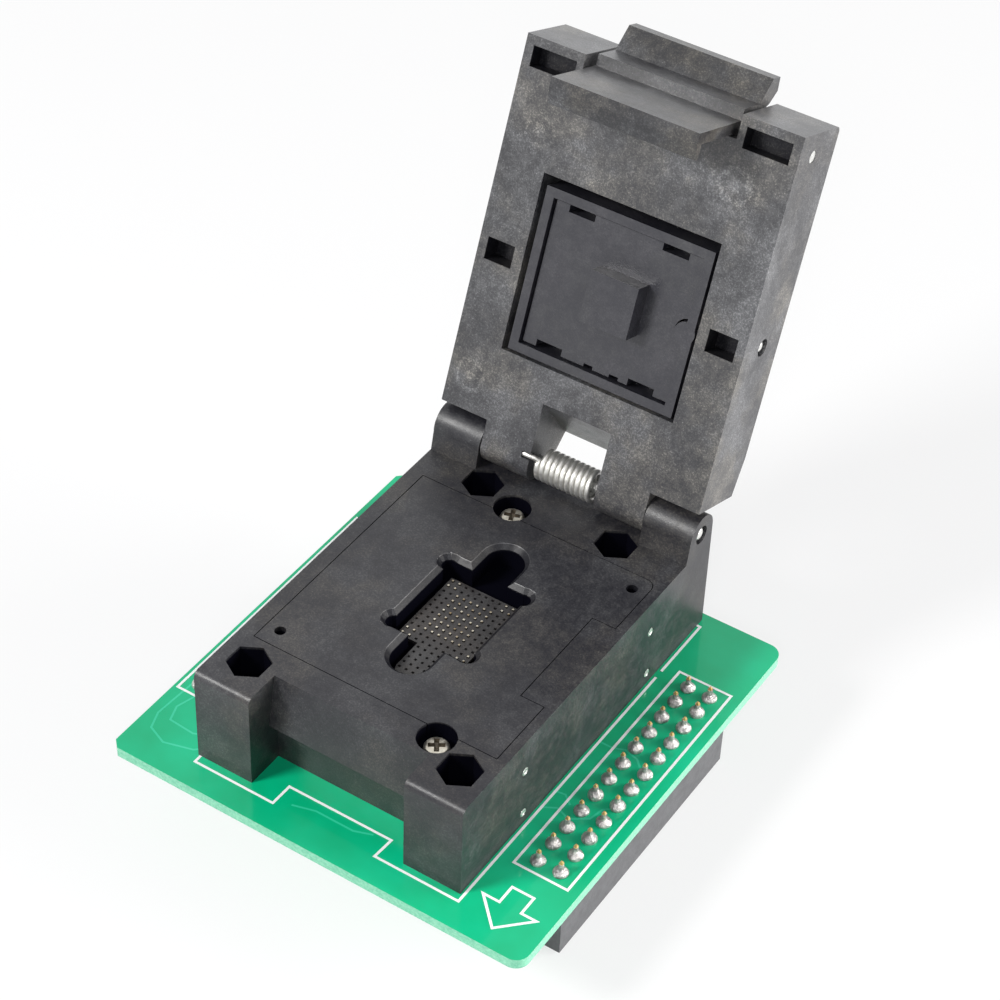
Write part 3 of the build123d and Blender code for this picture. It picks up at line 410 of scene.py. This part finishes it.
tail_pitch = 2.54
tails_in_row = 12
header_spacing = 40.64
tail_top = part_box("header_contacts_right")[1].z * 1000
contact_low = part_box("header_contacts_right")[0].z * 1000
body_radius, tail_radius, tip_radius = 0.42, 0.26, 0.13
tail_rise = tail_top - board_top
tail_profile = [(body_radius, contact_low - board_top), (body_radius, -0.1),
                (tail_radius, 0.0), (tail_radius, tail_rise - 0.25), (tip_radius, tail_rise)]
neck = (0.27, tail_rise - 0.30)
joint_profile = [(0.74, -0.02), (0.80, 0.09), (0.80, 0.24), (0.72, 0.42), (0.56, 0.57),
                 (0.40, 0.68), (0.31, 0.80), (0.28, 0.95)]
for side, name in ((-1, "left"), (1, "right")):
    dress(f"header_{name}", strip, bevel=0.00008)
    balls = bmesh.new()
    tails = bmesh.new()
    for row in (-0.5, 0.5):
        for n in range(tails_in_row):
            x = side * header_spacing / 2 + row * tail_pitch
            y = (n - (tails_in_row - 1) / 2) * tail_pitch
            # Each joint leans and stands a little differently.
            phase = 1.7 * n + 2.9 * row + side
            lean = 0.07 * math.sin(3.1 * phase)
            tall = 1 + 0.16 * math.sin(2.3 * phase)
            profile = [(r, h * tall) for r, h in joint_profile] + [neck]
            lathe(balls, (x, y, board_top), profile, 20,
                  wobble=lambda a: lean * math.cos(a + phase) + 0.03 * math.sin(3 * a))
            lathe(tails, (x, y, board_top), tail_profile, 4)
    joints = add_piece(f"solder_joints_{name}", balls, "base", solder, sharp=60)
    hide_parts(f"solder_{name}")
    gold_tails = add_piece(f"contact_tails_{name}", tails, "base", gold)
    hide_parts(f"header_contacts_{name}")


# Socket base
# Moulded in dark high-temperature plastic filled with glass: the skin is matt and mottled,
# with warm pale clouds, and fibre ends show in it as fine pale specks.
def below(tree, place, level):
    """1 on what lies lower than the level and 0 above it, with a soft edge."""
    height = node_in(tree, "ShaderNodeSeparateXYZ", {}, place, output="Z")
    return steps(tree, height, level + 0.05, level - 0.25)


def in_wells(tree, place, wells, top):
    """Mask of painted shade: 1 in the upright holes round (x, y, radius), from just
    under the top face down.
    """
    lit_rim, soft_edge = 0.17, 0.06
    flat = node_in(tree, "ShaderNodeVectorMath", {"operation": "MULTIPLY"}, place, (1, 1, 0))
    share = 0
    for x, y, radius in wells:
        away = node_in(tree, "ShaderNodeVectorMath", {"operation": "DISTANCE"}, flat, (x, y, 0),
                       output="Value")
        share = share + steps(tree, away, radius + soft_edge, radius)
    return share * below(tree, place, top - lit_rim)


def filled_plastic(name, dark, pale, clouds, sparkle, roughness, shade=None, flow_marks=(),
                   shiny=0.75, relief=0.2):
    """Mottled moulded plastic, with round flow marks at the (centre, radius) pairs in
    flow_marks. Where shade gives 1, a near-black diffuse is mixed in as painted shade."""
    material, tree = new_material(name)
    place = surface_point(tree)
    broad = steps(tree, noise(tree, place, 0.16, 6.0, 0.62), 0.40, 0.66)
    cloudy = noise(tree, place, 0.9, 5.0, 0.70)
    patches = steps(tree, cloudy, 0.42, 0.66)
    grain = noise(tree, place, 5.0, 3.0, 0.80)
    specks = steps(tree, grain, 0.46, 0.66)
    dots = node_in(tree, "ShaderNodeTexVoronoi", {"feature": "F1"}, Vector=place, Scale=3.4,
                   output="Distance")
    fibre_ends = steps(tree, dots, 0.26, 0.10) * steps(tree, cloudy, 0.42, 0.58)
    share = ((broad * 0.40 + patches * 0.25 + specks * (broad * 0.70 + 0.40)) * clouds
             + fibre_ends * sparkle)
    for centre, radius in flow_marks:
        away = node_in(tree, "ShaderNodeVectorMath", {"operation": "DISTANCE"}, place, centre,
                       output="Value")
        near = steps(tree, away, radius, radius * 0.4)
        bent = away * 5 + cloudy * 12
        lines = steps(tree, bent.maths("SINE", bent), 0.0, 0.9)
        share = share + near * lines * (specks * 0.6 + 0.18)
    warmth = steps(tree, noise(tree, place, 0.12, 4.0, 0.6), 0.42, 0.60)
    cool_pale = (pale[1] * 0.93, pale[1] * 0.94, pale[1] * 0.98, 1)
    tint = blend_colours(tree, warmth, cool_pale, (*pale, 1))
    colour = blend_colours(tree, share, (*dark, 1), tint)
    shine = patches * 0.08 + grain * 0.10 + (roughness - 0.09)
    surface = node_in(tree, "ShaderNodeBsdfPrincipled", {}, Base_Color=colour,
                      Roughness=shine, Specular_IOR_Level=shiny,
                      Normal=bump(tree, grain + cloudy * 1.2, relief, 0.0001))
    if shade:
        # Painted shade: a near-black diffuse mixed in where the shade mask gives 1.
        painted_gloom = node_in(tree, "ShaderNodeBsdfDiffuse", {}, (0.003, 0.003, 0.006, 1))
        surface = node_in(tree, "ShaderNodeMixShader", {}, shade(tree, place), surface, painted_gloom)
    set_surface(tree, surface)
    return material


base_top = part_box("guide_plate")[1].z * 1000
nut_places = [(-12.35, -17.33), (12.05, -17.33), (-8.35, 17.2), (7.75, 17.2)]
screw_places = [(8.0, -15.21), (-3.8, 15.76)]
nut_well, screw_well = 2.42, 2.05
wells = [(x, y, nut_well) for x, y in nut_places]
wells += [(x, y, screw_well) for x, y in screw_places]


# Painted shade in the hex nut pockets and the screw counterbores.
def base_shade(tree, place):
    return in_wells(tree, place, wells, base_top)


base_plastic = filled_plastic("base_plastic", (0.008, 0.008, 0.012), (0.112, 0.104, 0.092),
                              clouds=0.42, sparkle=0.42, roughness=0.42, shade=base_shade,
                              shiny=0.55)
dress("base_frame", base_plastic, bevel=0.00014)
dress("probe_block", base_plastic)


# Guide plate
# A loose plate let into the base, ground flat on top and a little darker and smoother. Its
# pocket has a bevelled mouth, with painted half-shade on the bevel and painted shade below.
lead_in = 0.5


def plate_shade(tree, place):
    """Painted shade: the wells, the pocket's bevel in half-dark and its walls in the dark."""
    height = node_in(tree, "ShaderNodeSeparateXYZ", {}, place, output="Z")
    bevel = steps(tree, height, base_top - 0.03, base_top - 0.08) * 0.6
    walls = below(tree, place, base_top - lead_in) * 0.4
    return in_wells(tree, place, wells, base_top) + bevel + walls


plate_plastic = filled_plastic("plate_plastic", (0.010, 0.010, 0.014), (0.115, 0.108, 0.098),
                               clouds=0.40, sparkle=0.35, roughness=0.42, shade=plate_shade,
                               shiny=0.55, relief=0.08)
dress("guide_plate", plate_plastic, bevel=0.00008)


# Contact field
# A drilled cover under the pocket, with a sprung plunger standing in part of its holes. The
# plungers are tiny turned pins, gold-plated, with bright rubbed tips. Behind them is the
# small round mark of an ejector.
cover_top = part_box("probe_cover")[1].z * 1000


# Painted shade on all of the cover that lies more than a quarter millimetre below its top.
def cover_shade(tree, place):
    return below(tree, place, cover_top - 0.25)


cover_plastic = filled_plastic("cover_plastic", (0.012, 0.010, 0.011), (0.090, 0.076, 0.066),
                               clouds=0.60, sparkle=0.20, roughness=0.36, shade=cover_shade)
dress("probe_cover", cover_plastic)

mark_place = (-1.27, 10.85, 18.15)
mark_profile = [(0.38, -0.2), (0.38, 0.02), (0.34, 0.06), (0.26, 0.06), (0.20, 0.01)]
form = bmesh.new()
lathe(form, mark_place, mark_profile, 24)
add_piece("ejector_mark", form, "base", cover_plastic)

rubbed_gold_shaded_sides, tree = new_material("rubbed_gold_shaded_sides")
each = node_in(tree, "ShaderNodeNewGeometry", {}, output="Random Per Island")
bright = ramp(tree, each, (0.1, (0.30, 0.22, 0.12)), (0.9, (0.80, 0.76, 0.64)))
# Painted shade: the plungers' upright sides are near black; their rubbed tops stay gold.
tip_colour = blend_colours(tree, steps(tree, upward_part(tree), 0.4, 0.9),
                           (0.03, 0.025, 0.02, 1), bright)
set_surface(tree, node_in(tree, "ShaderNodeBsdfPrincipled", {}, Base_Color=tip_colour,
                          Metallic=0.5, Roughness=0.35))
dress("probes", rubbed_gold_shaded_sides)


# Plate screws
# Two small pan-head screws with a cross recess hold the guide plate down. They are nickel
# plated, worn bright on the rim, and sit in counterbores.
def plated(name, low_colour, high_colour, metal, roughness):
    """Plated steel with a slightly uneven tarnish."""
    material, tree = new_material(name)
    place = surface_point(tree)
    colour = ramp(tree, noise(tree, place, 2.0), (0.3, low_colour), (0.7, high_colour))
    set_surface(tree, node_in(tree, "ShaderNodeBsdfPrincipled", {}, Base_Color=colour,
                              Metallic=metal, Roughness=roughness,
                              Normal=bump(tree, noise(tree, place, 4.0), 0.3, 0.0001)))
    return material


def crossed_screw(form, x, y, top, turned):
    """Pan-head screw with a cross recess. Its rings have points at the recess's corners."""
    head_radius, head_height = 1.33, 1.0
    shank_radius, shank_length = 0.65, 6.0
    arm_reach, arm_half = 0.84, 0.25
    corner = math.degrees(math.atan2(arm_half, arm_reach))
    quarter = (0, corner, 30, 45, 60, 90 - corner)
    angles = [math.radians(turn + step) for turn in (0, 90, 180, 270) for step in quarter]

    def ring(radius_at, height):
        return [form.verts.new((x + radius_at(a) * math.cos(a + turned),
                                y + radius_at(a) * math.sin(a + turned), top + height))
                for a in angles]

    def cross(a):
        off = abs((a + math.pi / 4) % (math.pi / 2) - math.pi / 4)
        return min(arm_reach / math.cos(off), arm_half / max(0.001, math.sin(off)))

    turned_part = [(shank_radius, -shank_length), (shank_radius, -head_height),
                   (head_radius, -head_height), (head_radius, -0.42),
                   (head_radius * 0.94, -0.22), (head_radius * 0.82, -0.08)]
    recess = [(1.0, 0.0), (0.86, -0.45), (0.35, -0.70)]
    rings = [ring(lambda a, r=radius: r, height) for radius, height in turned_part]
    rings += [ring(lambda a, k=share: cross(a) * k, height) for share, height in recess]
    # The recess's faces take the second material, a painted shade.
    for band in skin(form, rings)[-len(recess):]:
        for face in band:
            face.material_index = 1


nickel = plated("nickel_plate", (0.52, 0.48, 0.40), (0.84, 0.80, 0.70), metal=0.85,
                roughness=0.30)
screw_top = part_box("plate_screws")[1].z * 1000
screw_turns = (0.58, 0.35)
form = bmesh.new()
for (x, y), turned in zip(screw_places, screw_turns):
    crossed_screw(form, x, y, screw_top, turned)
# Painted shade for the cross recess: a dark plated material of its own.
recess_shade = plated("recess_painted_shade", (0.05, 0.04, 0.03), (0.16, 0.13, 0.09), metal=0.4,
               roughness=0.45)
heads = add_piece("plate_screw_heads", form, "base", nickel, recess_shade, sharp=30)
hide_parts("plate_screws")


# Mounting screws and nuts
# Four screws and hexagonal nuts clamp the base to the board. They have the same plating, and
# lie down in the dark of the corner pockets.
for name in ("mounting_nuts", "mounting_screws"):
    dress(name, nickel)


# Pins
# Hardened steel pins, pressed in from the side. Their ends are ground and slightly domed, and
# those of the side pins are rolled over.
steel = plated("pin_steel", (0.62, 0.62, 0.60), (0.86, 0.86, 0.84), metal=0.8,
               roughness=0.26)
dome = [(1.0, -0.30), (1.0, -0.08), (0.92, 0.02), (0.72, 0.10), (0.42, 0.16), (0.14, 0.18)]
rolled = [(1.0, -0.30), (1.0, -0.06), (0.90, 0.04), (0.66, 0.06), (0.42, 0.0), (0.30, -0.25)]
sunk = 0.2
base_box_low, base_box_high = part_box("base_frame")
outer_faces = (base_box_low.x * 1000, base_box_high.x * 1000)


def pin_ends(name, body, places, radius, inset, shape=dome):
    """Ends of pins that run across the socket. Places are (y, z) of their axes, and inset
    is how far in from the base's sides the ends lie."""
    form = bmesh.new()
    for y, z in places:
        for side, face in zip((-1, 1), outer_faces):
            profile = [(radius * share, reach - sunk) for share, reach in shape]
            lathe(form, (face - side * inset, y, z), profile, 20, along=(side, 0, 0))
    add_piece(name, form, body, steel)


for name in ("side_pins", "hinge_pin", "pusher_pins", "latch_pin"):
    dress(name, steel)


def pin_axis(name):
    """The (y, z) place of a pin that runs across the socket."""
    low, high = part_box(name)
    middle = (low + high) / 2 * 1000
    return middle.y, middle.z


pin_ends("hinge_pin_ends", "base", [pin_axis("hinge_pin")], radius=0.70, inset=0.04)
pin_ends("pusher_pin_ends", "lid", [pin_axis("pusher_pins")], radius=0.60, inset=0.16)
side_radius = 0.5
side_low, side_high = [corner * 1000 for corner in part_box("side_pins")]
side_places = [(y, z) for y in (side_low.y + side_radius, side_high.y - side_radius)
               for z in (side_low.z + side_radius, side_high.z - side_radius)]
pin_ends("side_pin_ends", "base", side_places, side_radius, inset=-0.16, shape=rolled)


# Hinge spring
# Closely wound torsion spring of bright wire round the hinge pin. One leg lies in the lid and
# the other rests on the base, so its coils turn a little each as the lid shuts; here the coil
# is one fixed piece.
def tube(form, points, radius, sides):
    """Round wire through the points."""
    points = [Vector(point) for point in points]
    last = len(points) - 1
    normal = (points[1] - points[0]).orthogonal().normalized()
    rings = []
    for n, here in enumerate(points):
        along = (points[min(n + 1, last)] - points[max(n - 1, 0)]).normalized()
        normal = (normal - along * normal.dot(along)).normalized()
        across = along.cross(normal)
        angles = [2 * math.pi * k / sides for k in range(sides)]
        rings.append([form.verts.new(here + (normal * math.cos(a) + across * math.sin(a)) * radius)
                      for a in angles])
    skin(form, rings)


spring_wire = plated("spring_wire", (0.60, 0.59, 0.56), (0.84, 0.83, 0.80), metal=0.8,
                     roughness=0.34)
hinge_y, hinge_z = pin_axis("hinge_pin")
coil_radius, coil_pitch, wire_radius = 1.52, 0.61, 0.29
whole_turns = 10
leg_angle = math.radians(220.9)
turns = whole_turns + (2 * math.pi - leg_angle) / (2 * math.pi)
coil_left = -3.65
leg_y, leg_z = 19.93, 24.85
leg = [(coil_left - reach, leg_y, leg_z) for reach in (1.6, 0.9, 0.35)]
steps_round = 28
coil = []
for n in range(round(turns * steps_round) + 1):
    angle = leg_angle + 2 * math.pi * n / steps_round
    coil.append((coil_left + coil_pitch * n / steps_round,
                 hinge_y + coil_radius * math.sin(angle),
                 hinge_z - coil_radius * math.cos(angle)))
foot_x = coil[-1][0] + 0.05
foot = [(foot_x, hinge_y + reach, hinge_z - coil_radius) for reach in (0.6, 1.3, 1.9)]
form = bmesh.new()
tube(form, leg + coil + foot, wire_radius, 12)
coil_piece = add_piece("hinge_spring_coil", form, None, spring_wire, sharp=50)
coil_ends = [(x / 1000, hinge_y / 1000, hinge_z / 1000) for x in (coil_left, coil[-1][0])]
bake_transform(coil_piece)
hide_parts("hinge_spring")


# Lid
# The same filled plastic as the base, but paler, with round flow marks over the places where
# the melt was let in. Its blind windows are painted in shade.
lid_up = (0, 0.351678, 0.936121)
lid_inward = (0, 0.936121, -0.351678)
lid_foot = Vector((0, 19.26, 24.09))
windows = [(-14.8, -9.8, 39.45, 41.6), (9.2, 14.2, 39.45, 41.6),
           (-14.8, -11.6, 19.05, 21.45), (11.0, 14.2, 19.05, 21.45)]
window_rim, window_depth = 0.15, 2.6


def between(tree, value, low, high):
    """1 from low to high and 0 outside, with a narrow soft edge."""
    edge = 0.03
    return steps(tree, value, low - edge, low) * steps(tree, value, high + edge, high)


def lid_place(tree, place, direction):
    """How far a place lies from the lid's foot in that direction."""
    reach = node_in(tree, "ShaderNodeVectorMath", {"operation": "DOT_PRODUCT"}, place, direction,
                    output="Value")
    return reach - lid_foot.dot(direction)


def lid_shade(tree, place):
    """Painted shade in the blind windows, each (left, right, low, high) on the lid's inner
    face. They keep a quarter of the plastic's own look."""
    across = node_in(tree, "ShaderNodeSeparateXYZ", {}, place, output="X")
    along = lid_place(tree, place, lid_up)
    inward = lid_place(tree, place, lid_inward)
    share = 0
    for left, right, low, high in windows:
        share = share + between(tree, across, left, right) * between(tree, along, low, high)
    return share * between(tree, inward, window_rim, window_depth) * 0.75


flow_marks = [((9.5, 31.9, 57.6), 3.4), ((-13.2, 21.6, 30.3), 2.6), ((-12.0, 31.1, 55.7), 2.2)]
lid_plastic = filled_plastic("lid_plastic", (0.020, 0.020, 0.024), (0.275, 0.258, 0.230),
                             clouds=0.50, sparkle=0.50, roughness=0.39, shade=lid_shade,
                             flow_marks=flow_marks)
dress("lid_frame", lid_plastic, bevel=0.00014)


# Pusher and latch springs
# Small springs of the same wire, in seats in the lid behind the pusher and the latch. They
# are pressed together as the pusher is pushed in and as the thumb tab is pressed; here they
# keep their form and go with the lid.
def sprung(name, node):
    """Spring of a carried-over node's form, put on the lid with a mesh of its own."""
    form = bmesh.new()
    form.from_mesh(nodes[node].data)
    bmesh.ops.scale(form, vec=(1000, 1000, 1000), verts=form.verts)
    piece = add_piece(name, form, "lid", spring_wire)
    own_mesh(piece)
    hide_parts(node)


sprung("pusher_spring_coils", "pusher_springs")
sprung("latch_spring_coil", "latch_spring")


# Pusher
# A frame that slides in the lid's cavity and a plate clipped in it, with the raised pad that
# presses on the chip. Both are of a smoother, bluer plastic than the lid, with few clouds.
pusher_plastic = filled_plastic("pusher_plastic", (0.013, 0.013, 0.020), (0.060, 0.058, 0.066),
                                clouds=0.45, sparkle=0.15, roughness=0.34)
dress("pusher_frame", pusher_plastic, bevel=0.00008)
dress("pusher_plate", pusher_plastic, bevel=0.00008)


# Latch
# A hook and a thumb tab in one piece, held by a pin at the lid's tip. It is moulded of the
# lid's plastic, a little darker and smoother from handling.
latch_plastic = filled_plastic("latch_plastic", (0.012, 0.012, 0.015), (0.185, 0.170, 0.145),
                               clouds=0.48, sparkle=0.50, roughness=0.36, shiny=0.6)
dress("latch", latch_plastic, bevel=0.0001)
